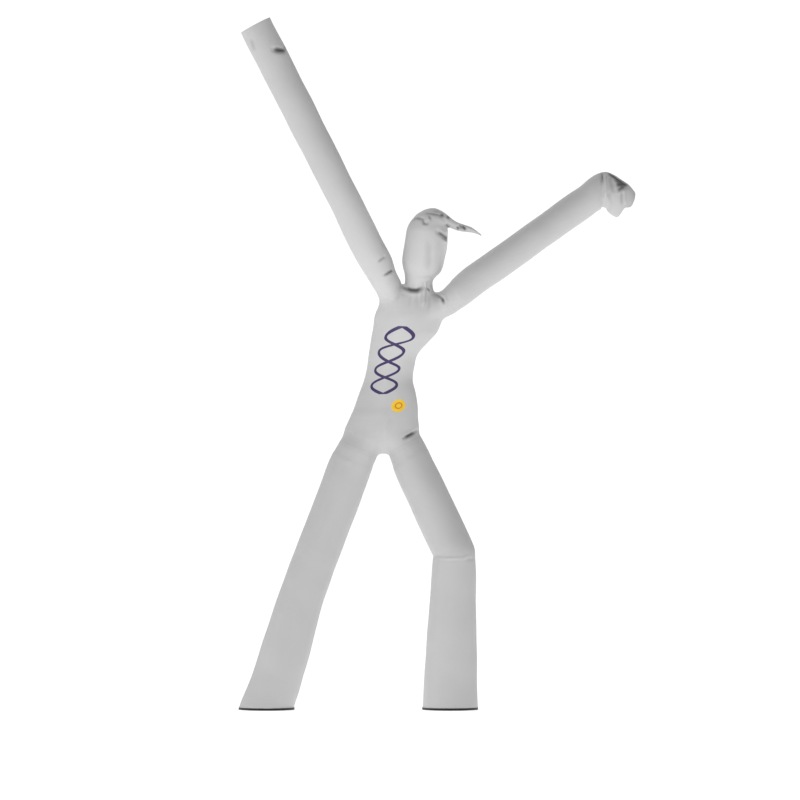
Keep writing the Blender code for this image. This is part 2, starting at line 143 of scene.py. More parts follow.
# %% Hoops of the head
HEAD = [
    (-0.152, 0.000, 3.686, 0.252, 0.262, -8, 0.045),
    (-0.158, -0.004, 3.742, 0.234, 0.246, -5, 0.010),
    (-0.130, -0.010, 3.794, 0.306, 0.308, -4, 0),
    (-0.123, -0.015, 3.852, 0.347, 0.350, -8, 0),
    (-0.108, -0.020, 3.945, 0.366, 0.366, -6, 0),
    (-0.096, -0.024, 4.010, 0.371, 0.370, -5, 0),
    (-0.088, -0.025, 4.070, 0.370, 0.370, -4, 0),
    (-0.084, -0.025, 4.115, 0.365, 0.367, -4, 0),
    (-0.078, -0.025, 4.160, 0.357, 0.360, -5, 0),
    (-0.070, -0.025, 4.195, 0.338, 0.342, -7, 0),
    (-0.053, -0.025, 4.228, 0.309, 0.318, -13, 0),
    (-0.036, -0.024, 4.246, 0.292, 0.303, -20, 0),
    (-0.015, -0.022, 4.259, 0.270, 0.285, -28, 0),
    (0.006, -0.020, 4.267, 0.251, 0.263, -37, 0),
    (0.029, -0.018, 4.271, 0.229, 0.240, -46, 0),
    (0.050, -0.015, 4.267, 0.205, 0.213, -54, 0),
    (0.072, -0.012, 4.259, 0.178, 0.185, -61, 0),
    (0.094, -0.009, 4.247, 0.153, 0.157, -66, 0),
    (0.118, -0.005, 4.232, 0.129, 0.130, -70, 0),
    (0.177, 0.005, 4.198, 0.089, 0.090, -75, 0),
    (0.241, 0.015, 4.179, 0.068, 0.068, -76, 0),
    (0.315, 0.020, 4.161, 0.054, 0.052, -70, 0),
    (0.387, 0.022, 4.121, 0.030, 0.026, -60, 0),
]
print("hoops in the head and its tip:", len(HEAD))

# %% [markdown]
# ## From hoops to a tube
# A tube could be lofted with a curve and a bevel object, but its rings would all be alike. Here each ring
# is an ellipse of its own, so a table of a dozen rows can describe a knee, a kink or a tapering tip.

# %% More hoops between the rows
ROW_SPACING = 0.0095  # between two rings of cloth: about what a fold needs
HEAD_SPACING = 0.007  # the folds on the crown and the tip are finer
TINY = 1e-12  # keeps a vector of no length from being divided by nothing


def unit(vectors):
    """Each vector divided by its length."""
    return vectors / np.maximum(np.linalg.norm(vectors, axis=-1, keepdims=True), TINY)


def cubic(start, leave, end, arrive, t):
    """The cubic from start to end with the slopes leave and arrive: start·(2t³-3t²+1) + leave·(t³-2t²+t) +
    end·(3t²-2t³) + arrive·(t³-t²)."""
    return (
        start * (2 * t**3 - 3 * t**2 + 1)
        + leave * (t**3 - 2 * t**2 + t)
        + end * (3 * t**2 - 2 * t**3)
        + arrive * (t**3 - t**2)
    )


def fine_hoops(table, spacing=ROW_SPACING):
    """The table's hoops with more between them. Every column follows a cubic of the distance along the
    tube, whose slope at a row is the change between the rows on each side of it."""
    rows = np.array(table, float)
    steps = np.linalg.norm(np.diff(rows[:, :3], axis=0), axis=1)
    along = np.concatenate([[0], np.cumsum(steps)])
    slopes = np.gradient(rows, along, axis=0)
    wanted = np.linspace(0, along[-1], round(along[-1] / spacing) + 1)
    row = np.clip(np.searchsorted(along, wanted, side="right") - 1, 0, len(rows) - 2)
    gap = (along[row + 1] - along[row])[:, None]
    t = (wanted - along[row])[:, None] / gap
    return cubic(rows[row], slopes[row] * gap, rows[row + 1], slopes[row + 1] * gap, t)


print("rings in an arm:", len(fine_hoops(LEFT_ARM)))

# %% Rings round the hoops
HEM_RINGS = 3  # in the straight hem of a leg


def tube(hoops, points):
    """Rings as an array of hoops × points × 3. A point at angle a from the right-hand edge, going by the
    back, is middle + across·(width/2)·cos a + back·(depth/2)·sin a - axis·dip·sin²a, where across is the
    tilted line of the hoop, axis is the way the tube runs and back is square to both."""
    middle, width, depth, tilt, dip = hoops[:, :3], *hoops[:, 3:].T
    axis = unit(np.gradient(middle, axis=0))
    tilt = np.radians(tilt)
    across = np.stack([np.cos(tilt), np.zeros_like(tilt), np.sin(tilt)], axis=1)
    back = unit(np.cross(axis, across))
    angle = np.linspace(0, math.tau, points, endpoint=False)
    cosine, sine = np.cos(angle)[:, None], np.sin(angle)[:, None]
    side = across[:, None] * (width / 2)[:, None, None] * cosine
    deep = back[:, None] * (depth / 2)[:, None, None] * sine
    drawn = axis[:, None] * dip[:, None, None] * sine**2
    return middle[:, None] + side + deep - drawn


def lengths(rings):
    """How far each point is along its own line of cloth, from the first ring."""
    steps = np.linalg.norm(np.diff(rings, axis=0), axis=2)
    return np.concatenate([np.zeros((1, rings.shape[1])), np.cumsum(steps, axis=0)])


def leg_tube(table, points):
    """A leg with its straight hem, which stands upright in the webbing: rings like the foot's hoop at even
    heights, and then the rings of the leg."""
    foot = np.array(table[:2], float)
    hem = foot[0] + (foot[1] - foot[0]) * np.linspace(0, 1, HEM_RINGS + 1)[:-1, None]
    return tube(np.concatenate([hem, fine_hoops(table[1:])]), points)


print("rings in a leg, its hem among them:", len(leg_tube(LEFT_LEG, 8)))

# %% The six tubes
BODY_POINTS = 192  # points round the torso
ARM_POINTS = 112  # round an arm
SADDLE_STEPS = 40  # points along the fold where two tubes meet
ARM_REACH = (ARM_POINTS - SADDLE_STEPS) // 2  # torso points each way from its edge that an arm takes
LEG_POINTS = BODY_POINTS // 2 + SADDLE_STEPS
NECK_POINTS = BODY_POINTS - 4 * ARM_REACH + 2 * SADDLE_STEPS

torso_rings = tube(fine_hoops(TORSO), BODY_POINTS)
left_leg_rings = leg_tube(LEFT_LEG, LEG_POINTS)
right_leg_rings = leg_tube(RIGHT_LEG, LEG_POINTS)
left_arm_rings = tube(fine_hoops(LEFT_ARM), ARM_POINTS)
right_arm_rings = tube(fine_hoops(RIGHT_ARM), ARM_POINTS)
head_rings = tube(fine_hoops(HEAD, HEAD_SPACING), NECK_POINTS)
print("torso rings × points:", torso_rings.shape[:2], "head:", head_rings.shape[:2])

# %% The lip of the drooping hand
def hem_drawn_in(rings, turn, before, after, depth, reach):
    """The tube with its end drawn back at one place. A point moves down the tube by
    depth·exp(-(d/width)²)·s²: d is how many degrees its turn is from the given one, width is before or
    after on its side of it, and s rises from 0 to 1 over the last reach of the tube."""
    axis = unit(rings[-1].mean(axis=0) - rings[-4].mean(axis=0))  # the way the tube runs at its end
    away = (np.linspace(0, 360, rings.shape[1], endpoint=False) - turn + 180) % 360 - 180
    bell = np.exp(-((away / np.where(away < 0, before, after)) ** 2))
    run = lengths(rings)
    near_end = np.clip(1 - (run[-1] - run) / reach, 0, 1)
    return rings - axis * (depth * bell * near_end**2)[..., None]


even_lip = right_arm_rings[-1]
right_arm_rings = hem_drawn_in(right_arm_rings, turn=286, before=12, after=38, depth=0.042, reach=0.11)
moved = np.linalg.norm(right_arm_rings[-1] - even_lip, axis=1)
print("lip drawn in, mm:", round(1000 * float(moved.max())))

# %% [markdown]
# ## Hips and shoulders
# The torso is one cloth that splits: into two hips below, and into two arms and a neck above. On the real
# thing a fold hangs like a saddle between two neighbouring tubes. A boolean union of the tubes would
# leave a hard crease and slivers there, and metaballs would leave no edge to sew. So each branch starts
# on a rim, part of which is the torso's own edge and part the saddle, and runs in smooth curves to the
# first hoop of its limb.

# %% Rims and saddles
CROTCH = (-0.464, 0.000, 2.175)  # the lowest point of the arch between the legs
LEFT_SADDLE = (-0.291, 0.000, 3.755)  # the tops of the folds between each arm and the neck
RIGHT_SADDLE = (0.004, 0.000, 3.671)


def torso_rim(last, before):
    """The torso's end ring as a rim: columns are its place (3), the way that the cloth leaves it (3), and
    how far it is up a saddle, here 0."""
    return np.concatenate([last, unit(last - before), np.zeros((len(last), 1))], axis=1)


def saddle(back, top, front):
    """Rim of the half ellipse from back over top to front, without its ends: place = middle + (back -
    middle)·cos a + (top - middle)·sin a, its way turns evenly from back's to front's, and its rise up the
    saddle is sin a."""
    share = np.arange(1, SADDLE_STEPS)[:, None] / SADDLE_STEPS
    angle = math.pi * share
    middle = (back[:3] + front[:3]) / 2
    place = middle + (back[:3] - middle) * np.cos(angle) + (np.array(top) - middle) * np.sin(angle)
    way = back[3:6] + (front[3:6] - back[3:6]) * share
    return np.concatenate([place, way, np.sin(angle)], axis=1)


waist = torso_rim(torso_rings[0], torso_rings[1])
chest = torso_rim(torso_rings[-1], torso_rings[-2])
print("points on the torso's two rims:", len(waist), len(chest))

# %% Branches from a rim to a limb
BRANCH_ROWS = 27  # rings in a branch
ARCH_ROUNDNESS = 1.3  # how far the cloth runs level as it leaves a saddle, as a share of its reach
HIP_RISE, HIP_ARRIVE = 0.15, 0.08  # how firmly a branch leaves the torso and meets its limb, in metres
ARM_RISE, ARM_ARRIVE = 0.12, 0.05
NECK_RISE, NECK_ARRIVE = 0.26, 0.03


def branch(rim, limb, rise, arrive):
    """Rings from a rim to a limb's first ring, each point along a cubic. It leaves the torso the torso's
    own way for a length of rise, or level over a saddle, and arrives the limb's way with a slope of
    arrive."""
    place, way, arch = rim[:, :3], rim[:, 3:6], rim[:, 6:]
    end, onward = limb[0], limb[1]
    towards = limb[0, :, 0].mean() - place[:, 0]
    level = np.zeros_like(place)
    level[:, 0] = np.copysign(ARCH_ROUNDNESS * (end[:, 0] - place[:, 0]), towards)
    leave = way * rise * (1 - arch) + level * arch
    t = np.linspace(0, 1, BRANCH_ROWS)[:, None, None]
    return cubic(place, leave, end, unit(onward - end) * arrive, t)


quarter, half = BODY_POINTS // 4, SADDLE_STEPS // 2
crotch = saddle(waist[quarter], CROTCH, waist[3 * quarter])
left_hip = np.concatenate([
    crotch[half - 1 :: -1],
    waist[quarter : 3 * quarter + 1],
    crotch[: half - 1 : -1],
])
right_hip = np.concatenate([waist[: quarter + 1], crotch, waist[3 * quarter :]])
hip_rings = [
    branch(rim, leg[::-1], HIP_RISE, HIP_ARRIVE)[::-1]
    for rim, leg in ((left_hip, left_leg_rings), (right_hip, right_leg_rings))
]
print("points round each hip:", len(left_hip), len(right_hip))

# %% Shoulders
left_from, left_to = BODY_POINTS // 2 - ARM_REACH, BODY_POINTS // 2 + ARM_REACH
right_from, right_to = ARM_REACH, BODY_POINTS - ARM_REACH
left_fold = saddle(chest[left_from], LEFT_SADDLE, chest[left_to])
right_fold = saddle(chest[right_from], RIGHT_SADDLE, chest[right_to])
left_shoulder = np.concatenate([
    left_fold[half - 1 :: -1],
    chest[left_from : left_to + 1],
    left_fold[: half - 1 : -1],
])
right_shoulder = np.concatenate([chest[: right_from + 1], right_fold, chest[right_to:]])
neck_rim = np.concatenate([
    right_fold[half - 1 :: -1],
    chest[right_from : left_from + 1],
    left_fold,
    chest[left_to : right_to + 1],
    right_fold[: half - 1 : -1],
])
shoulder_rings = [
    branch(left_shoulder, left_arm_rings, ARM_RISE, ARM_ARRIVE),
    branch(neck_rim, head_rings, NECK_RISE, NECK_ARRIVE),
    branch(right_shoulder, right_arm_rings, ARM_RISE, ARM_ARRIVE),
]
print("points round the neck:", len(neck_rim))

# %% [markdown]
# ## One skin
# The tubes and branches are welded into one surface before anything is pressed into it. Each panel could
# be shaped on its own, but then a fold that reaches a seam would tear it open. In one skin a fold may
# cross a seam, as it does in real cloth, and both panels still meet along the same line.

# %% Patches of quads
PANELS = ["torso", "left_leg", "right_leg", "left_arm", "right_arm", "head"]
Patch = namedtuple("Patch", "panel rings from_edge start")
FAR = 1.0  # metres from an edge, which is too far for its stitches and puckers


def from_both_ends(rings):
    """How far each point is from the nearer end of its tube."""
    run = lengths(rings)
    return np.minimum(run, run[-1] - run)


def run_of(rings):
    """The length of a tube, the same all the way round."""
    return lengths(rings)[-1].mean()


# start is where a patch begins along its panel, so that the torso's UV map runs on from hips to shoulders
patches = [
    Patch(0, torso_rings, np.full(torso_rings.shape[:2], FAR), 0),
    Patch(1, left_leg_rings, from_both_ends(left_leg_rings), 0),
    Patch(2, right_leg_rings, from_both_ends(right_leg_rings), 0),
    Patch(3, left_arm_rings, from_both_ends(left_arm_rings), 0),
    Patch(4, right_arm_rings, from_both_ends(right_arm_rings), 0),
    Patch(5, head_rings, lengths(head_rings), 0),
]
patches += [Patch(0, rings, lengths(rings), -run_of(rings)) for rings in hip_rings]
patches += [Patch(0, rings, lengths(rings[::-1])[::-1], run_of(torso_rings)) for rings in shoulder_rings]
print("patches:", len(patches))

# %% Quads and UV map of a tube
def grid_quads(rows, points):
    """Corner numbers of the quads of a tube: point i and i+1 of a ring, then the same of the next ring."""
    here = np.arange(rows - 1)[:, None] * points + np.arange(points)
    beside = np.arange(rows - 1)[:, None] * points + (np.arange(points) + 1) % points
    return np.stack([here, beside, beside + points, here + points], axis=-1).reshape(-1, 4)


def grid_uv(patch):
    """The quads' UV map in metres: u is the share of the way round, from the middle of the front, times the
    girth of the ring, so it is 0 down the front and jumps at a seam down the back; v is the length along
    the tube."""
    rows, points = patch.rings.shape[:2]
    girth = np.linalg.norm(patch.rings - np.roll(patch.rings, 1, axis=1), axis=2).sum(axis=1)
    along = patch.start + lengths(patch.rings).mean(axis=1)
    row = np.arange(rows - 1)[:, None, None] + np.array([0, 0, 1, 1])
    # a ring starts at the right-hand edge and goes by the back, so the middle of the front is at 0.75
    share = (np.arange(points) / points - 0.25)[:, None] % 1 + np.array([0, 1, 1, 0]) / points - 0.5
    return np.stack(np.broadcast_arrays(share * girth[row], along[row]), axis=-1).reshape(-1, 4, 2)


print("quads in the left arm:", len(grid_quads(*left_arm_rings.shape[:2])))

# %% Weld them
WELD_DIGITS = 6  # points that agree to a thousandth of a millimetre are one
all_points, all_quads, all_panels, all_uv, all_edge = [], [], [], [], []
count = 0
for patch in patches:
    rows, points = patch.rings.shape[:2]
    quads = grid_quads(rows, points)
    all_uv.append(grid_uv(patch))
    all_points.append(patch.rings.reshape(-1, 3))
    all_quads.append(quads + count)
    all_panels.append(np.full(len(quads), patch.panel))
    all_edge.append(patch.from_edge.ravel())
    count += rows * points
loose = np.concatenate(all_points)
_, first, welded = np.unique(loose.round(WELD_DIGITS), axis=0, return_index=True, return_inverse=True)
welded = welded.ravel()
skin = loose[first]
quads = welded[np.concatenate(all_quads)]
quad_panel = np.concatenate(all_panels)
quad_uv = np.concatenate(all_uv)
from_edge = np.full(len(skin), np.inf)
np.minimum.at(from_edge, welded, np.concatenate(all_edge))
print("points:", len(loose), "welded to", len(skin), "quads:", len(quads))

# %% Relaxing a mesh
def edges_of(faces):
    """Each edge of the quads once, as pairs of point numbers."""
    pairs = np.stack([faces, np.roll(faces, -1, axis=1)], axis=-1).reshape(-1, 2)
    return np.unique(np.sort(pairs, axis=1), axis=0)


def relaxed(points, edges, free, rounds):
    """Moves each free point half of the way to the average of its neighbours, rounds times."""
    both = np.concatenate([edges, edges[:, ::-1]])
    both = both[free[both[:, 0]]]
    numbers, slot = np.unique(both[:, 0], return_inverse=True)
    share = 0.5 / np.bincount(slot)
    points = points.copy()
    for _ in range(rounds):
        near = np.stack([np.bincount(slot, points[both[:, 1], axis]) for axis in range(3)], axis=1)
        points[numbers] = points[numbers] / 2 + near * share[:, None]
    return points


skin_edges = edges_of(quads)
print("edges of the skin:", len(skin_edges))

# %% Relax the branches and the seams
# how far past the torso's end hoops each pass starts, where less than 0 is inside them, and its rounds
BRANCH_PASSES = ((0.03, 128), (-0.12, 40))
SEAM_REACH = 0.12  # how far from a seam the cloth is relaxed
SEAM_LOW, SEAM_HIGH = 2.0, 3.95  # only hips, arm roots and neck, not the open ends of the limbs
SEAM_MIDDLE, SEAM_SIDE = -0.25, 0.70  # and across, so far to each side of the middle
SEAM_ROUNDS = 110

in_torso = np.zeros(len(skin), bool)
in_torso[quads[quad_panel == 0]] = True
in_torso[quads[quad_panel != 0]] = False
torso_edges = edges_of(quads[quad_panel == 0])
for reach, rounds in BRANCH_PASSES:
    beyond = (skin[:, 2] < TORSO[0][2] - reach) | (skin[:, 2] > TORSO[-1][2] + reach)
    skin = relaxed(skin, torso_edges, in_torso & beyond, rounds)
    print("points relaxed in the branches:", int((in_torso & beyond).sum()))
# and across the seams of hips, arms and neck, where one tube's slope meets the other's
height, aside = skin[:, 2], np.abs(skin[:, 0] - SEAM_MIDDLE)
at_seam = (from_edge < SEAM_REACH) & (height > SEAM_LOW) & (height < SEAM_HIGH) & (aside < SEAM_SIDE)
skin = relaxed(skin, skin_edges, at_seam, SEAM_ROUNDS)
print("points relaxed at seams:", int(at_seam.sum()))

# %% [markdown]
# ## Folds
# Blown-up cloth is smooth where it is tight, and creases where a tube bends, is drawn in or loses its
# air. A cloth simulation would find folds of its own, but not these ones, and sculpting leaves nothing
# that a script can repeat. So each crease is a line with a few points, seen from the front or from the
# back, a depth and a width. The cloth is pressed in across the line with a hat curve, a trough with two
# raised lips, as the air pushes the cloth up on each side of a fold. It fades out at the two ends of the
# line. A negative depth raises a ridge. Shade is how dark the crease is painted: painted shade, which
# stands in for the deep shadow inside a real fold that the soft light of the studio below fills. It
# therefore stays dark in any other light.

# %% Creases of the chest and the left arm
# shade is how dark a crease is painted: painted shade for the shadow inside its fold
Crease = namedtuple("Crease", "where depth width shade")  # where is a line of points (x, z)

FRONT_CREASES = [
    # under the chin, the pleat beside it, and over the right shoulder, from left to right
    Crease([(-0.321, 3.663), (-0.295, 3.667), (-0.265, 3.652), (-0.217, 3.637), (-0.171, 3.634),
            (-0.135, 3.650), (-0.104, 3.664)], 0.024, 0.022, 0.7),
    Crease([(-0.272, 3.656), (-0.217, 3.639), (-0.171, 3.636), (-0.125, 3.654)], 0.010, 0.027, 1.0),
    Crease([(-0.094, 3.700), (-0.098, 3.640), (-0.113, 3.510)], -0.022, 0.013, 0.0),
    Crease([(-0.080, 3.658), (-0.058, 3.632)], 0.014, 0.014, 0.7),
    Crease([(-0.036, 3.612), (0.022, 3.588), (0.054, 3.563), (0.068, 3.525)], 0.018, 0.014, 0.6),
    Crease([(0.046, 3.570), (0.064, 3.535)], 0.010, 0.016, 0.9),
    Crease([(-0.042, 3.600), (0.032, 3.566)], 0.004, 0.030, 0.25),
    Crease([(-0.160, 3.610), (-0.170, 3.500)], 0.006, 0.020, 0.04),  # gathers down the chest
    Crease([(-0.215, 3.600), (-0.235, 3.500)], 0.004, 0.020, 0.04),
    Crease([(-0.050, 3.580), (-0.070, 3.470)], 0.006, 0.020, 0.06),
    # the left arm's root
    Crease([(-0.505, 3.887), (-0.448, 3.931)], 0.014, 0.014, 0.35),
    Crease([(-0.462, 3.768), (-0.410, 3.790), (-0.378, 3.815)], 0.016, 0.013, 0.6),
    Crease([(-0.430, 3.784), (-0.380, 3.811)], 0.018, 0.018, 0.8),
    # dent near the left arm's end
    Crease([(-1.412, 5.712), (-1.300, 5.702)], 0.020, 0.022, 1.0),
    Crease([(-1.404, 5.711), (-1.302, 5.700)], 0.014, 0.038, 1.0),
    Crease([(-1.318, 5.750), (-1.310, 5.708)], 0.006, 0.016, 0.6),
    Crease([(-1.604, 5.805), (-1.572, 5.700)], 0.005, 0.026, 0.22),
]
print("creases so far:", len(FRONT_CREASES))

# %% Creases of the hip and the knee
FRONT_CREASES += [
    # hip and crotch
    Crease([(-0.292, 2.358), (-0.230, 2.382), (-0.165, 2.428)], 0.013, 0.016, 0.35),
    Crease([(-0.278, 2.362), (-0.190, 2.408)], 0.013, 0.020, 0.9),
    Crease([(-0.464, 2.250), (-0.440, 2.370), (-0.412, 2.490)], -0.008, 0.030, 0.0),
    # the knee
    Crease([(-0.022, 1.318), (0.130, 1.317), (0.230, 1.321), (0.330, 1.352)], -0.006, 0.012, 0.0),
    Crease([(0.255, 1.304), (0.325, 1.306)], 0.004, 0.012, 0.18),
]
print("creases so far:", len(FRONT_CREASES))

# %% Creases of the crown and the tip
FRONT_CREASES += [
    Crease([(-0.215, 4.222), (-0.180, 4.260), (-0.120, 4.253), (-0.108, 4.213), (-0.082, 4.211),
            (-0.070, 4.240)], 0.012, 0.014, 0.5),
    Crease([(-0.108, 4.222), (-0.098, 4.206)], 0.006, 0.014, 0.8),
    Crease([(-0.180, 4.262), (-0.126, 4.254)], 0.004, 0.018, 0.6),
    Crease([(-0.040, 4.330), (0.070, 4.296)], 0.003, 0.030, 0.25),
    Crease([(-0.068, 4.288), (-0.048, 4.246)], 0.010, 0.013, 0.6),
    Crease([(-0.110, 4.304), (-0.040, 4.300), (0.055, 4.284)], 0.010, 0.014, 0.5),
    Crease([(0.026, 4.290), (0.064, 4.286)], 0.010, 0.028, 0.80),
    Crease([(0.086, 4.280), (0.112, 4.260)], 0.008, 0.019, 0.85),
    Crease([(0.076, 4.208), (0.118, 4.190)], 0.012, 0.014, 0.8),
    Crease([(0.180, 4.194), (0.192, 4.164)], 0.008, 0.022, 0.85),
    Crease([(0.222, 4.202), (0.256, 4.160)], 0.010, 0.022, 1.0),
    Crease([(0.192, 4.198), (0.228, 4.187)], 0.004, 0.022, 0.7),
    Crease([(0.175, 4.186), (0.262, 4.178)], 0.003, 0.024, 0.5),
    Crease([(0.005, 4.146), (0.055, 4.108), (0.105, 4.064)], 0.024, 0.025, 0.85),  # side of the head
    Crease([(0.048, 4.110), (0.110, 4.066)], 0.008, 0.032, 1.0),
    Crease([(-0.065, 4.080), (-0.065, 3.800)], 0.007, 0.040, 0.12),  # soft crease down the face
]
print("creases so far:", len(FRONT_CREASES))

# %% Creases of the kink and the hand below it
FRONT_CREASES += [
    Crease([(1.449, 4.695), (1.443, 4.570)], 0.012, 0.017, 0.6),
    Crease([(1.475, 4.682), (1.470, 4.430)], -0.036, 0.024, 0.0),
    Crease([(1.480, 4.668), (1.565, 4.616), (1.665, 4.560)], 0.026, 0.022, 1.0),
    Crease([(1.575, 4.586), (1.672, 4.554)], 0.014, 0.033, 1.0),
    Crease([(1.540, 4.608), (1.654, 4.568)], 0.002, 0.032, 0.9),
    Crease([(1.560, 4.572), (1.646, 4.557)], 0.014, 0.044, 1.0),
    Crease([(1.655, 4.557), (1.573, 4.510)], 0.016, 0.020, 0.9),
    Crease([(1.505, 4.640), (1.540, 4.480)], 0.006, 0.036, 0.30),
    Crease([(1.614, 4.510), (1.614, 4.390)], 0.010, 0.014, 0.25),
    Crease([(1.645, 4.520), (1.647, 4.400)], -0.014, 0.012, 0.0),
    Crease([(1.500, 4.500), (1.530, 4.390)], 0.008, 0.020, 0.10),
]
print("creases in front:", len(FRONT_CREASES))

# %% Creases at the back
BACK_CREASES = [
    Crease([(-0.320, 3.680), (-0.240, 3.650), (-0.120, 3.632), (0.020, 3.590)], 0.024, 0.024, 0.5),  # nape
    Crease([(-0.140, 3.610), (-0.165, 3.440)], -0.008, 0.018, 0.0),
    Crease([(-0.680, 2.395), (-0.590, 2.340), (-0.500, 2.310)], 0.014, 0.022, 0.15),  # under the seat
    Crease([(-0.360, 2.330), (-0.280, 2.360), (-0.160, 2.425)], 0.018, 0.020, 0.3),
    Crease([(-0.600, 2.860), (-0.480, 2.880), (-0.330, 2.930)], 0.008, 0.030, 0.05),  # small of the back
    # behind the knee
    Crease([(-0.015, 1.330), (0.120, 1.305), (0.230, 1.320), (0.320, 1.370)], 0.016, 0.022, 0.15),
    Crease([(0.030, 1.290), (0.150, 1.262), (0.270, 1.285)], 0.008, 0.018, 0.05),
    Crease([(0.120, 3.520), (0.165, 3.590), (0.175, 3.690)], 0.012, 0.020, 0.15),  # at the arms' roots
    Crease([(-0.500, 3.770), (-0.440, 3.790), (-0.370, 3.845)], 0.014, 0.018, 0.25),
    Crease([(1.455, 4.640), (1.440, 4.520), (1.452, 4.390)], 0.020, 0.024, 0.3),  # behind the kink
    Crease([(1.510, 4.630), (1.480, 4.500)], 0.012, 0.018, 0.15),
    Crease([(-1.440, 5.690), (-1.350, 5.680)], 0.010, 0.018, 0.15),  # behind the dent in the left arm
]
print("creases at the back:", len(BACK_CREASES))

# %% Normals, and the gap to a line
def normals_of(points, faces):
    """A point's normal: the sum of the normals of its quads, each the cross product of the quad's
    diagonals."""
    corner = points[faces]
    normal = np.cross(corner[:, 2] - corner[:, 0], corner[:, 3] - corner[:, 1])
    corners = faces.ravel()
    totals = [np.bincount(corners, np.repeat(normal[:, axis], 4), len(points)) for axis in range(3)]
    return unit(np.stack(totals, axis=1))


def near_line(points, line):
    """How far each point is from a line of straight pieces, seen from the front, and its share of the way
    along."""
    line = np.array(line, float)
    pieces = np.linalg.norm(np.diff(line, axis=0), axis=1)
    start = np.concatenate([[0], np.cumsum(pieces)])
    seen = points[:, [0, 2]]
    best, share = np.full(len(points), np.inf), np.zeros(len(points))
    for a, b, length, before in zip(line, line[1:], pieces, start):
        t = np.clip((seen - a) @ (b - a) / length**2, 0, 1)
        gap = np.linalg.norm(seen - a - t[:, None] * (b - a), axis=1)
        share = np.where(gap < best, (before + t * length) / start[-1], share)
        best = np.minimum(best, gap)
    return best, share


normals = normals_of(skin, quads)
print("share of the cloth that faces forward:", round(float((normals[:, 1] < 0).mean()), 2))

# %% How deep each crease is
REACH = 3  # widths from its line, where a crease has died away
LINE_END = 0.97  # where the fade stops, so that a crease still has a third of its depth at its very ends
EDGE_ON = 3  # a crease has its full depth where at least a third of the cloth's normal is along y


def pressed(points, normals, creases, side):
    """Depth and shade that a table of creases gives each point. With g = gap/width a point moves straight
    back, or straight forward at the back, by depth·(1 - g²)·exp(-g²), times (1 - (2·share - 1)⁴)^½ to fade
    at the ends. Only the side whose normals have that sign of y is pressed, and less where the cloth turns
    edge on."""
    depth, shade = np.zeros(len(points)), np.zeros(len(points))
    facing = np.clip(EDGE_ON * side * normals[:, 1], 0, 1)
    seen = points[:, [0, 2]]
    for crease in creases:
        line = np.array(crease.where)
        low, high = line.min(0) - REACH * crease.width, line.max(0) + REACH * crease.width
        close = np.flatnonzero((facing > 0) & (seen > low).all(1) & (seen < high).all(1))
        gap, share = near_line(points[close], crease.where)
        across = (gap / crease.width) ** 2
        fade = np.sqrt(1 - np.clip(2 * share - 1, -LINE_END, LINE_END) ** 4)
        bell = np.exp(-across) * fade * facing[close]
        depth[close] += crease.depth * (1 - across) * bell
        shade[close] = np.maximum(shade[close], crease.shade * bell**3)
    return depth, shade


front_depth, front_shade = pressed(skin, normals, FRONT_CREASES, -1)
back_depth, back_shade = pressed(skin, normals, BACK_CREASES, 1)
skin[:, 1] += front_depth - back_depth
shade = np.maximum(front_shade, back_shade)
print("deepest fold, mm:", round(1000 * float((front_depth + back_depth).max())))

# %% [markdown]
# ## Slack in the cloth
# No blown tube is quite round. The fan's air makes long shallow waves along it, and a sewn seam puckers:
# the thread draws the cloth in, and short ripples run away from it. A Displace modifier with a noise
# texture could make the waves, but it would part the panels at their seams. Here both are sums of sine
# waves of different lengths, so that they never repeat exactly, worked out while the cloth is still one
# skin. Both are only a few millimetres high.

# %% Waves and puckers
SLACK = 0.0012  # height of the first long wave
PUCKER = 0.0006  # height of the first ripple beside a seam
PUCKER_FADE = 0.045  # how far from the seam a ripple has sunk to about a third
LONG_WAVES = [  # wavelength and direction
    (0.53, (1, 2, 0.5)),
    (0.37, (-2, 1, 1)),
    (0.29, (1, -1, 2)),
    (0.23, (2, 1, -1)),
    (0.17, (1, 3, 1)),
]
SHORT_RIPPLES = [(0.060, (1, 0.3, 0.1)), (0.043, (0.2, 1, 0.1)), (0.071, (1, -1, 0.2))]


def waves(points, table):
    """Sum over the table's waves, the n-th being sin(phase + 1.7·n + 0.6·sin(0.37·phase + n)) / (1 +
    0.3·n), where phase is 2π·(the distance along its direction)/wavelength. The inner sine bends the
    crests, 1.7 sets each wave off at a place of its own, and 0.3 makes it weaker than the last."""
    total = np.zeros(len(points))
    for number, (length, direction) in enumerate(table):
        phase = points @ unit(np.array(direction, float)) * math.tau / length
        total += np.sin(phase + 1.7 * number + 0.6 * np.sin(phase * 0.37 + number)) / (1 + 0.3 * number)
    return total


normals = normals_of(skin, quads)
slack = waves(skin, LONG_WAVES)
ripple = waves(skin, SHORT_RIPPLES)
near_seam = np.exp(-from_edge / PUCKER_FADE)
skin = skin + normals * (SLACK * slack + PUCKER * near_seam * ripple)[:, None]
print("slack, mm:", round(1000 * float(np.abs(SLACK * slack).max()), 1))

# %% [markdown]
# ## Cutting the panels
# A seam is where one panel's threads end and the next begin. In Edit mode one would select each panel's
# faces and separate them. A script does the same with numbers: every quad knows its panel, so the skin is
# cut into the six panels that a maker would sew. Each gets a thickness with a Solidify modifier, which is
# simpler than an inner wall made by hand, and the open ends show a real edge.

# %% A panel as a mesh of its own
CLOTH = 0.002  # thickness of the coated nylon, as in the solids of the frame
SEAM_GAP = 0.0003  # between two panels, and between the webbing and the hem inside it


def new_object(name, data):
    """An object at the origin that carries a mesh, a light or a camera, in the scene."""
    made = bpy.data.objects.new(name, data)
    bpy.context.scene.collection.objects.link(made)
    return made


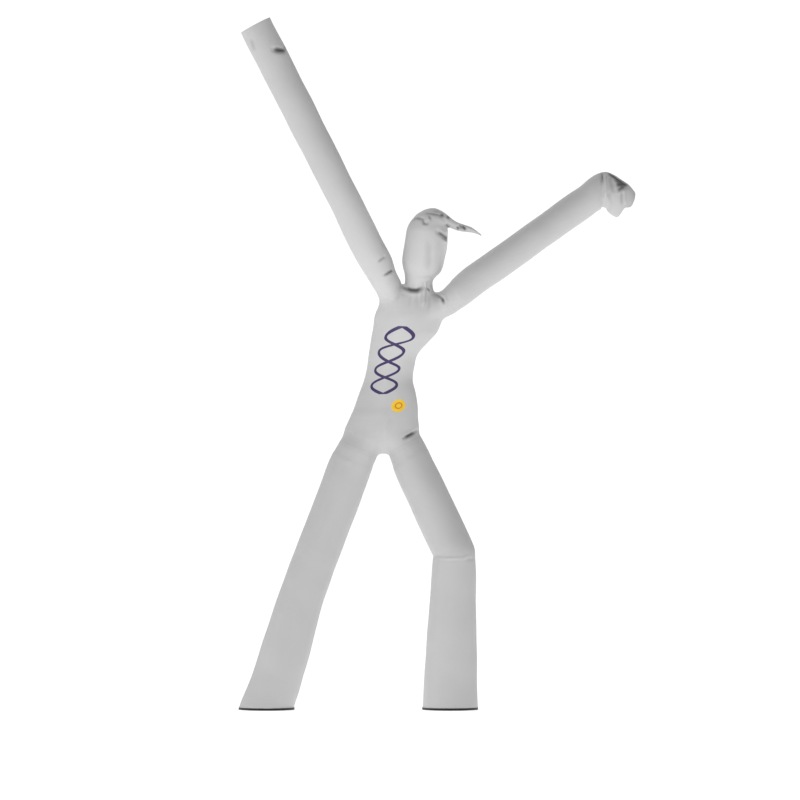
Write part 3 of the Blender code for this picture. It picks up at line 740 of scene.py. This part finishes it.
def seam_drawn_back(points, faces, shared):
    """The points of a panel, with those on a seam drawn back by half the gap, towards their inner
    neighbours."""
    edges = edges_of(faces)
    both = np.concatenate([edges, edges[:, ::-1]])
    both = both[shared[both[:, 0]] & ~shared[both[:, 1]]]
    towards = np.zeros_like(points)
    np.add.at(towards, both[:, 0], points[both[:, 1]] - points[both[:, 0]])
    return points + unit(towards) * np.where(shared, SEAM_GAP / 2, 0)[:, None]


print("cloth and seam gap, mm:", 1000 * CLOTH, 1000 * SEAM_GAP)

# %% A panel as an object
def panel(name, number, material, tip=None):
    """A panel of the skin as an object: its quads, a fan of triangles at its closed tip, its UV map in
    metres, how far each point is from the panel's edge, and the painted shade of its creases."""
    mine = quad_panel == number
    faces, uv = quads[mine], quad_uv[mine]
    shared = np.zeros(len(skin), bool)
    shared[quads[~mine]] = True
    numbers, faces = np.unique(faces, return_inverse=True)
    faces = faces.reshape(-1, 4)
    points = seam_drawn_back(skin[numbers], faces, shared[numbers])
    # the crease values are painted shade: the shadow inside the deep folds, put into the colour
    edge, painted_shade = from_edge[numbers], shade[numbers]
    corners = faces.tolist()
    if tip is not None:
        ring = np.searchsorted(numbers, tip)
        points = np.concatenate([points, points[ring].mean(0, keepdims=True)])
        edge, painted_shade = np.append(edge, FAR), np.append(painted_shade, 0)
        middle = np.full_like(ring, len(points) - 1)
        corners += np.stack([ring, np.roll(ring, -1), middle], axis=1).tolist()
        uv = np.concatenate([uv.reshape(-1, 2), np.repeat(uv[-1, :1], 3 * len(ring), axis=0)])
    mesh = bpy.data.meshes.new(name)
    mesh.from_pydata(points, [], corners)
    mesh.uv_layers.new(name="cloth").data.foreach_set("uv", uv.astype(np.float32).ravel())
    for layer, values in (("from_edge", edge), ("painted_shade", painted_shade)):
        mesh.attributes.new(layer, "FLOAT", "POINT").data.foreach_set("value", values.astype(np.float32))
    mesh.materials.append(material)
    mesh.shade_smooth()
    # the cut edge is sharp, so that the cloth isn't shaded as if it curled over into its own thickness
    edge_of_corner = np.zeros(len(mesh.loops), np.int32)
    mesh.loops.foreach_get("edge_index", edge_of_corner)
    cut = np.bincount(edge_of_corner, minlength=len(mesh.edges)) == 1
    mesh.attributes.new("sharp_edge", "BOOLEAN", "EDGE").data.foreach_set("value", cut)
    piece = new_object(name, mesh)
    wall = piece.modifiers.new("wall", "SOLIDIFY")
    wall.thickness, wall.offset, wall.use_even_offset = CLOTH, -1, False
    return piece


print("quads to a panel:", dict(zip(PANELS, np.bincount(quad_panel).tolist())))

# %% [markdown]
# ## Ripstop nylon
# The cloth is ripstop: plain-woven nylon with a thicker thread every few millimetres, coated so that it
# holds air. The coating gives it a soft, slightly plastic sheen. The eye sees an even pale grey with
# faint clouding, a fine net of raised threads, short wrinkles where it is slack, and rows of stitches
# next to every seam. An image of cloth could be wrapped round each tube, but it would stretch where the
# tube widens and blur close by. Each pattern here is a formula in metres of cloth, so it keeps its real
# size.

# %% A function that adds a node
def linear(hex_colour):
    """An sRGB hex colour as linear red, green, blue and alpha: a channel c is c/12.92 up to 0.04045, and
    ((c + 0.055)/1.055)^2.4 above it."""
    channels = [int(hex_colour[i : i + 2], 16) / 255 for i in (1, 3, 5)]
    return [c / 12.92 if c <= 0.04045 else ((c + 0.055) / 1.055) ** 2.4 for c in channels] + [1.0]


# a Mix node has sockets for numbers and for colours. These are its two colours and the colour it makes
UNDER, OVER, MIXED = 6, 7, 2


def add(tree, kind, *values, sockets=(), **settings):
    """Adds a node. The values go into its first sockets, and sockets are pairs of another socket's name or
    number and its value. A value is a number, another node's output, or a node, which stands for its first
    output. Settings are the node's own properties, and are made first because they can change which sockets
    it has."""
    node = tree.nodes.new("ShaderNode" + kind)
    for name, value in settings.items():
        setattr(node, name, value)
    for socket, value in [*enumerate(values), *sockets]:
        if isinstance(value, bpy.types.Node):
            value = value.outputs[0]
        if isinstance(value, bpy.types.NodeSocket):
            tree.links.new(value, node.inputs[socket])
        else:
            node.inputs[socket].default_value = value
    return node


def new_material(name, **shader):
    """A material with a Principled shader, whose constant sockets are set here. Underscores stand for
    spaces."""
    material = bpy.data.materials.new(name)
    material.use_nodes = True
    principled = material.node_tree.nodes["Principled BSDF"]
    for socket, value in shader.items():
        principled.inputs[socket.replace("_", " ")].default_value = value
    return material, material.node_tree, principled


print("half-bright grey in linear light:", round(linear("#808080")[0], 3))

# %% The net and the stitches
NET = 0.024  # between two thick threads. Really 5 mm, which would be too fine to show on a figure of 6 m
NET_LINE = 0.0035  # from the middle of a thick thread to where it has faded out
STITCH = 0.012  # from an edge to its row of stitches
STITCH_ROW = (0.002, 0.005)  # half the row's width, and where it has faded out. Really under 1 mm wide


def thread_net(tree, cloth):
    """1 on a thick thread and 0 between: the gap to the nearest multiple of the spacing, across and along,
    made into a smooth line, and the higher of the two."""
    split = add(tree, "SeparateXYZ", cloth)
    lines = []
    for way in ("X", "Y"):
        gap = add(tree, "Math", split.outputs[way], NET / 2, operation="PINGPONG")
        line = add(tree, "MapRange", gap, 0.0, NET_LINE, 1.0, 0.0, interpolation_type="SMOOTHSTEP")
        lines.append(line)
    return add(tree, "Math", *lines, operation="MAXIMUM")


def stitch_row(tree):
    """1 on the row of stitches that runs along every edge of a panel, and 0 off it."""
    from_panel_edge = add(tree, "Attribute", attribute_name="from_edge").outputs["Fac"]
    off_row = add(tree, "Math", from_panel_edge, STITCH, operation="SUBTRACT")
    off_row = add(tree, "Math", off_row, operation="ABSOLUTE")
    return add(tree, "MapRange", off_row, *STITCH_ROW, 1.0, 0.0)


print("net and stitches, mm:", 1000 * NET, 1000 * STITCH)

# %% The nylon
GREY = "#CFCFCF"  # the cloth as it looks in even light
CLOUDED = "#C6C6C7"
CREASE_SHADOW_GREY = "#4A4A4B"  # painted shade: the shadow inside the deep creases, which the soft studio light would fill
THREAD = "#A9A9AA"
THREAD_SHOWS = 0.12  # how much of the thread's colour shows on its row
CLOUDS = 2.3  # to a metre, so a cloud is about 0.4 m across
WRINKLES = 9.0  # to a metre, so a wrinkle is about 0.1 m long
NET_HEIGHT = 0.05  # of the threads against the wrinkles. The stitches are sunk by as much
RELIEF = 0.010  # metres of height that the relief stands for, of which a quarter is used


def ripstop(name, print_on=None):
    """The nylon, with a print mixed in over its colour where print_on makes one."""
    material, tree, shader = new_material(
        name, Roughness=0.46, IOR=1.5, Specular_IOR_Level=0.5, Sheen_Weight=0.06, Sheen_Roughness=0.4
    )
    place = add(tree, "TexCoord").outputs["Object"]
    cloth = add(tree, "UVMap", uv_map="cloth")
    # colour: faint clouds, the print, the thread of the stitches, and painted shade of the creases on top
    cloud = add(tree, "TexNoise", place, sockets=[("Scale", CLOUDS), ("Detail", 3.0)])
    clouds = [(UNDER, linear(GREY)), (OVER, linear(CLOUDED))]
    colour = add(tree, "Mix", cloud, sockets=clouds, data_type="RGBA").outputs[MIXED]
    if print_on:
        colour = print_on(tree, cloth, colour)
    row = stitch_row(tree)
    sewn = add(tree, "Math", row, THREAD_SHOWS, operation="MULTIPLY")
    # last over the colour: painted shade, the shadow inside the deep creases
    painted_shade = add(tree, "Attribute", attribute_name="painted_shade").outputs["Fac"]
    for share, paint in ((sewn, THREAD), (painted_shade, CREASE_SHADOW_GREY)):
        colours = [(UNDER, colour), (OVER, linear(paint))]
        colour = add(tree, "Mix", share, sockets=colours, data_type="RGBA").outputs[MIXED]
    tree.links.new(colour, shader.inputs["Base Color"])
    # relief: wrinkles, the raised net and the sunken row of stitches
    height = add(tree, "TexNoise", place, sockets=[("Scale", WRINKLES), ("Detail", 4.0), ("Distortion", 0.6)])
    for lines, lift in ((thread_net(tree, cloth), NET_HEIGHT), (row, -NET_HEIGHT)):
        height = add(tree, "Math", lines, lift, height, operation="MULTIPLY_ADD")
    bump = add(tree, "Bump", sockets=[("Height", height), ("Strength", 0.25), ("Distance", RELIEF)])
    tree.links.new(bump.outputs["Normal"], shader.inputs["Normal"])
    return material


plain_nylon = ripstop("ripstop nylon")
print("nodes in the nylon:", len(plain_nylon.node_tree.nodes))

# %% [markdown]
# ## The print
# Such figures carry a printed sign on the chest. Here it is a plain ornament: two purple lines that cross
# and cross again like a plait, and a yellow disc with an orange ring. It could be an image laid on the
# cloth, which would be one more file to keep. Since the panel's UV map is in metres with u = 0 down the
# middle of the front, a few formulas draw it straight on the cloth instead, with sharp edges, and it
# bends with the body.

# %% The inks and where they go
PURPLE = "#38245E"
YELLOW = "#FFD02C"
ORANGE = "#D98A12"
LINE = 0.026  # how wide a purple line is
PLAIT_LOW, PLAIT_HIGH = 0.30, 0.95  # along the torso, from its hips
PLAIT_SWING = 0.11  # how far a line swings to each side
PLAIT_TURN = 0.325  # from one crossing to the next but one
PLAIT_ACROSS = -0.03
INK_EDGE = (-0.001, 0.002)  # where a purple line starts to show outside its edge, and is full inside it
DISC = (0.105, 0.190, 0.0)  # across and along, on the flat
DISC_RADIUS = 0.060
RINGS = ((1.0, YELLOW), (0.55, ORANGE), (0.36, YELLOW))  # shares of the radius, each painted over the last
RING_EDGE = 0.001  # how far a ring's edge fades to each side
print("crossings in the plait:", round((PLAIT_HIGH - PLAIT_LOW) / PLAIT_TURN * 2) + 1)

# %% Plait and disc
def plait(tree, cloth):
    """How far inside a purple line a point is: line/2·√(1 + slope²) - |across ± swing·sin(2π·along/turn)|
    for the nearer line, the slope being swing·(2π/turn)·cos(2π·along/turn) and along being measured from
    the plait's low end. It is no more than the distance from the plait's ends."""
    split = add(tree, "SeparateXYZ", cloth)
    across = add(tree, "Math", split.outputs["X"], PLAIT_ACROSS, operation="SUBTRACT")
    turned = add(tree, "Math", split.outputs["Y"], PLAIT_LOW, operation="SUBTRACT")
    turned = add(tree, "Math", turned, math.tau / PLAIT_TURN, operation="MULTIPLY")
    swing = add(tree, "Math", turned, operation="SINE")
    swing = add(tree, "Math", swing, PLAIT_SWING, operation="MULTIPLY")
    slope = add(tree, "Math", turned, operation="COSINE")
    slope = add(tree, "Math", slope, PLAIT_SWING * math.tau / PLAIT_TURN, operation="MULTIPLY")
    slant = add(tree, "Math", slope, slope, 1.0, operation="MULTIPLY_ADD")
    slant = add(tree, "Math", slant, operation="SQRT")
    edge = add(tree, "Math", slant, LINE / 2, operation="MULTIPLY")
    gaps = []
    for way in ("SUBTRACT", "ADD"):
        gap = add(tree, "Math", across, swing, operation=way)
        gaps.append(add(tree, "Math", gap, operation="ABSOLUTE"))
    nearer = add(tree, "Math", *gaps, operation="MINIMUM")
    inside = add(tree, "Math", edge, nearer, operation="SUBTRACT")
    middle, reach = (PLAIT_LOW + PLAIT_HIGH) / 2, (PLAIT_HIGH - PLAIT_LOW) / 2
    beyond = add(tree, "Math", split.outputs["Y"], middle, operation="SUBTRACT")
    beyond = add(tree, "Math", beyond, operation="ABSOLUTE")
    within = add(tree, "Math", reach, beyond, operation="SUBTRACT")
    return add(tree, "Math", inside, within, operation="MINIMUM")


def ornament(tree, cloth, colour):
    """The colour with the plait and the disc printed over it. A ring is inked where the distance to the
    disc's middle is under the ring's radius."""
    away = add(tree, "VectorMath", cloth, DISC, operation="DISTANCE").outputs["Value"]
    inks = [(add(tree, "MapRange", plait(tree, cloth), *INK_EDGE), PURPLE)]
    for share, paint in RINGS:
        low, high = DISC_RADIUS * share - RING_EDGE, DISC_RADIUS * share + RING_EDGE
        inks.append((add(tree, "MapRange", away, low, high, 1.0, 0.0), paint))
    for ink, paint in inks:
        colours = [(UNDER, colour), (OVER, linear(paint))]
        colour = add(tree, "Mix", ink, sockets=colours, data_type="RGBA").outputs[MIXED]
    return colour


printed_nylon = ripstop("printed ripstop nylon", ornament)
print("nodes in the printed nylon:", len(printed_nylon.node_tree.nodes))

# %% The six panels
pieces = {}
before_head = sum(len(points) for points in all_points[: PANELS.index("head")])
tip_ring = welded[before_head + (len(head_rings) - 1) * NECK_POINTS + np.arange(NECK_POINTS)]
for number, name in enumerate(PANELS):
    material = printed_nylon if name == "torso" else plain_nylon
    pieces[name] = panel(name + "_cloth", number, material, tip_ring if name == "head" else None)
    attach(pieces[name], "root")
    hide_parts(name)
    print(name, "faces:", len(pieces[name].data.polygons))

# %% [markdown]
# ## Webbing at the feet
# Each foot is strapped round the collar of its blower with a band of black polyester webbing. It is a
# rounded strip carried round the foot, ribbed across by its weave. A curve with a bevel would give the
# strip too, but not a UV map in metres, which its ribs need, so its section is carried round with numpy.

# %% A band's outline
BAND_HEIGHT = 0.020
BAND_THICKNESS = 0.003
BAND_CORNER = 0.0012  # radius of its rounded edges
CORNER_POINTS = 4
AROUND = 180  # sections round the foot


def strip_outline():
    """The band's section as radius and height: a quarter circle of the corner's radius round each of the
    four corners' middles, turned a quarter further each time."""
    outer, inner = BAND_THICKNESS - BAND_CORNER, BAND_CORNER
    top, bottom = BAND_HEIGHT - BAND_CORNER, BAND_CORNER
    middles = np.repeat([(outer, top), (inner, top), (inner, bottom), (outer, bottom)], CORNER_POINTS, axis=0)
    turn = (np.arange(4)[:, None] + np.linspace(0, 1, CORNER_POINTS)).ravel() * math.pi / 2
    return middles + BAND_CORNER * np.stack([np.cos(turn), np.sin(turn)], axis=1)


print("points of a band's section:", len(strip_outline()))

# %% A band round a foot
STRIP_STEP = 0.003  # on the UV map, from one point of the section to the next


def webbing_ring(name, foot, material):
    """The outline carried round a foot: x and y are the foot's middle + (the foot's radius + the gap + the
    outline's radius)·(cos a, sin a), and z is the outline's height."""
    inner = foot[3] / 2 + SEAM_GAP
    angle = np.linspace(0, math.tau, AROUND, endpoint=False)
    outline = strip_outline()
    radius, height = inner + outline[:, 0], outline[:, 1]
    ring = np.stack([
        foot[0] + radius * np.cos(angle)[:, None],
        foot[1] + radius * np.sin(angle)[:, None],
        height + 0 * angle[:, None],
    ], axis=-1)
    rows, points = ring.shape[:2]
    here = np.arange(rows)[:, None] * points + np.arange(points)
    after = (np.arange(rows)[:, None] + 1) % rows * points + np.arange(points)
    faces = np.stack([here, after, np.roll(after, -1, 1), np.roll(here, -1, 1)], axis=-1).reshape(-1, 4)
    mesh = bpy.data.meshes.new(name)
    mesh.from_pydata(ring.reshape(-1, 3), [], faces.tolist())
    step = math.tau / AROUND
    length = np.stack([angle, angle + step, angle + step, angle], axis=1) * inner
    up = np.arange(points) * STRIP_STEP
    uv = np.stack([
        np.repeat(length[:, None], points, axis=1),
        np.broadcast_to(np.stack([up, up, up + STRIP_STEP, up + STRIP_STEP], axis=1), (rows, points, 4)),
    ], axis=-1)
    mesh.uv_layers.new(name="strip").data.foreach_set("uv", uv.astype(np.float32).ravel())
    mesh.materials.append(material)
    mesh.shade_smooth()
    return new_object(name, mesh)


print("webbing, mm:", 1000 * BAND_HEIGHT, "high,", 1000 * BAND_THICKNESS, "thick")

# %% Polyester webbing
BLACK = "#141416"
WORN_BLACK = "#26262A"  # the ribs, where the dye has worn
RIBS = 60.0  # scale of the wave, which makes a rib every 5 mm. Really 1 to 2 mm, too fine to show
RIB_WANDER = 0.4
RIB_HEIGHT = 0.002  # of which half is used

webbing, tree, shader = new_material("polyester webbing", Roughness=0.78, IOR=1.5, Sheen_Weight=0.25)
strip = add(tree, "UVMap", uv_map="strip")
rib = add(tree, "TexWave", strip, sockets=[("Scale", RIBS), ("Distortion", RIB_WANDER)], bands_direction="X")
rib = rib.outputs["Fac"]
blacks = [(UNDER, linear(BLACK)), (OVER, linear(WORN_BLACK))]
dark = add(tree, "Mix", rib, sockets=blacks, data_type="RGBA").outputs[MIXED]
tree.links.new(dark, shader.inputs["Base Color"])
relief = add(tree, "Bump", sockets=[("Height", rib), ("Strength", 0.5), ("Distance", RIB_HEIGHT)])
tree.links.new(relief.outputs["Normal"], shader.inputs["Normal"])
print("nodes in the webbing:", len(tree.nodes))

# %% The two bands
for side, leg in (("left", LEFT_LEG), ("right", RIGHT_LEG)):
    band = webbing_ring(side + "_foot_webbing", leg[0], webbing)
    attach(band, "root")
    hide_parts(side + "_foot_band")
    pieces[side + "_band"] = band
print("faces of a band:", len(band.data.polygons))

# %% [markdown]
# ## Sheets
# A tube is cut as wide as its largest hoop is round, and as long as its line, with the rest trimmed
# away, so its area is less than width times length. Cut only names the fields of such a sheet; no sheet
# is made here.

Cut = namedtuple("Cut", "width length area rests_on")

# %% [markdown]
# ## Studio
# A white room: the floor and the walls shine softly, a little more at the front on the left, and the
# ceiling is dark, so that the cloth is light below and on the left and darker on top, with no hard
# shadow. Large area lights could do this, but they would have to stand all round a figure of 6 m, and the
# walls of a room cost nothing when they are a formula of the direction. A white backdrop hangs behind the
# figure, with a window high above it. Three small softboxes with a grid, which keeps a beam narrow, lift
# the chest, the left shin and the right rim of the head.

# %% The floor
FLOOR_RADIUS = 36.0
FLOOR_POINTS = 96
FLOOR_SHINE = 0.66

turn = np.linspace(0, math.tau, FLOOR_POINTS, endpoint=False)
rim = FLOOR_RADIUS * np.stack([np.cos(turn), np.sin(turn), 0 * turn], axis=1)
floor_mesh = bpy.data.meshes.new("floor")
floor_mesh.from_pydata(rim, [], [list(range(len(rim)))])
floor = new_object("floor", floor_mesh)
paint, tree, shader = new_material(
    "white floor paint",
    Base_Color=linear("#F4F4F4"),
    Roughness=0.9,
    Emission_Color=(1, 1, 1, 1),
    Emission_Strength=FLOOR_SHINE,
)
floor_mesh.materials.append(paint)
print("floor radius, m:", FLOOR_RADIUS)

# %% The room
# a direction has a length of 1, and an edge is a pair: where something starts and where it is full
TOWARDS_LIGHT = (-0.75, -0.65, 0.0)
WALL = 0.68  # how brightly the walls shine
LIT_SIDE = 0.36  # how much more they shine towards the light
CEILING = 0.03  # how much of that is left straight overhead
CEILING_RISE = (0.2, 1.0)  # how far a direction points up, from where it darkens to where it is darkest
BACKDROP = 1.1
BACKDROP_EDGE = (0.97, 0.985)  # how far a direction points straight back
WINDOW = 0.9
TOWARDS_WINDOW = (0.0, 0.6, 0.8)
WINDOW_EDGE = (0.7, 0.95)  # how far a direction points towards the window

world = bpy.data.worlds.new("white room")
world.use_nodes = True
bpy.context.scene.world = world
tree = world.node_tree
direction = add(tree, "TexCoord").outputs["Generated"]
split = add(tree, "SeparateXYZ", direction)
wall = add(tree, "VectorMath", direction, TOWARDS_LIGHT, operation="DOT_PRODUCT").outputs["Value"]
wall = add(tree, "Math", wall, LIT_SIDE, WALL, operation="MULTIPLY_ADD")
up = split.outputs["Z"]
up = add(tree, "MapRange", up, *CEILING_RISE, 1.0, CEILING, interpolation_type="SMOOTHSTEP")
room = add(tree, "Math", wall, up, operation="MULTIPLY")
# the backdrop straight behind the figure
drop = add(tree, "MapRange", split.outputs["Y"], *BACKDROP_EDGE)
shine = add(tree, "Mix", drop, sockets=[(2, room), (3, BACKDROP)])  # 2 and 3 are its two numbers
# a window high up behind, which lights the rims of the arms
window = add(tree, "VectorMath", direction, TOWARDS_WINDOW, operation="DOT_PRODUCT").outputs["Value"]
window = add(tree, "MapRange", window, *WINDOW_EDGE, 0.0, WINDOW, interpolation_type="SMOOTHSTEP")
shine = add(tree, "Math", shine, window, operation="ADD")
background = tree.nodes["Background"]
tree.links.new(shine.outputs[0], background.inputs["Strength"])
background.inputs["Color"].default_value = (1, 1, 1, 1)
print("nodes in the room:", len(tree.nodes))

# %% Softboxes
def softbox(name, place, aimed_at, size, power, spread):
    """A square area light at a place, whose grid keeps its beam within spread degrees. It is turned to face
    another place: by acos(-z) about X and then by atan2(-x, y) about Z, (x, y, z) being the way it
    faces."""
    data = bpy.data.lights.new(name, "AREA")
    data.shape, data.size, data.energy, data.spread = "SQUARE", size, power, math.radians(spread)
    light = new_object(name, data)
    light.location = place
    aim = np.array(aimed_at) - np.array(place)
    light.rotation_euler = (math.acos(-aim[2] / np.linalg.norm(aim)), 0, math.atan2(-aim[0], aim[1]))
    return light


softboxes = [
    softbox("chest softbox", (-2.2, -6.6, 4.6), aimed_at=(-0.30, 0.0, 3.52), size=1.2, power=1.1, spread=16),
    softbox("rim softbox", (5.5, 4.2, 4.3), aimed_at=(0.00, 0.0, 3.90), size=1.0, power=0.8, spread=12),
    softbox("shin softbox", (-6.5, -1.5, 0.8), aimed_at=(-0.9, 0.0, 0.6), size=1.0, power=0.5, spread=30),
]
print("softboxes:", ", ".join(light.name for light in softboxes))

# %% [markdown]
# ## Camera
# The camera stands level, far away, and has a long lens. So the figure, which is taller than a room, is
# seen almost without perspective, and an arm that leans forward looks no thicker than one that leans
# back. An orthographic camera would flatten it altogether. The long lens keeps the little depth there is.

# %% The camera and its lens
FRAME_HEIGHT = 6.944  # of the world that the square frame takes in, in metres
FRAME_MIDDLE = (-0.317, 2.687)  # x and z
CAMERA_DISTANCE = 60.0
SENSOR = 36.0  # mm
FURTHEST_SEEN = 200.0

camera_data = bpy.data.cameras.new("camera")
camera_data.sensor_width = SENSOR
camera_data.lens = SENSOR * CAMERA_DISTANCE / FRAME_HEIGHT
camera_data.clip_end = FURTHEST_SEEN
camera = new_object("camera", camera_data)
camera.location = (FRAME_MIDDLE[0], -CAMERA_DISTANCE, FRAME_MIDDLE[1])
camera.rotation_euler = (math.pi / 2, 0, 0)
bpy.context.scene.camera = camera
bpy.context.scene.view_settings.view_transform = "Standard"
print("lens, mm:", round(camera_data.lens))
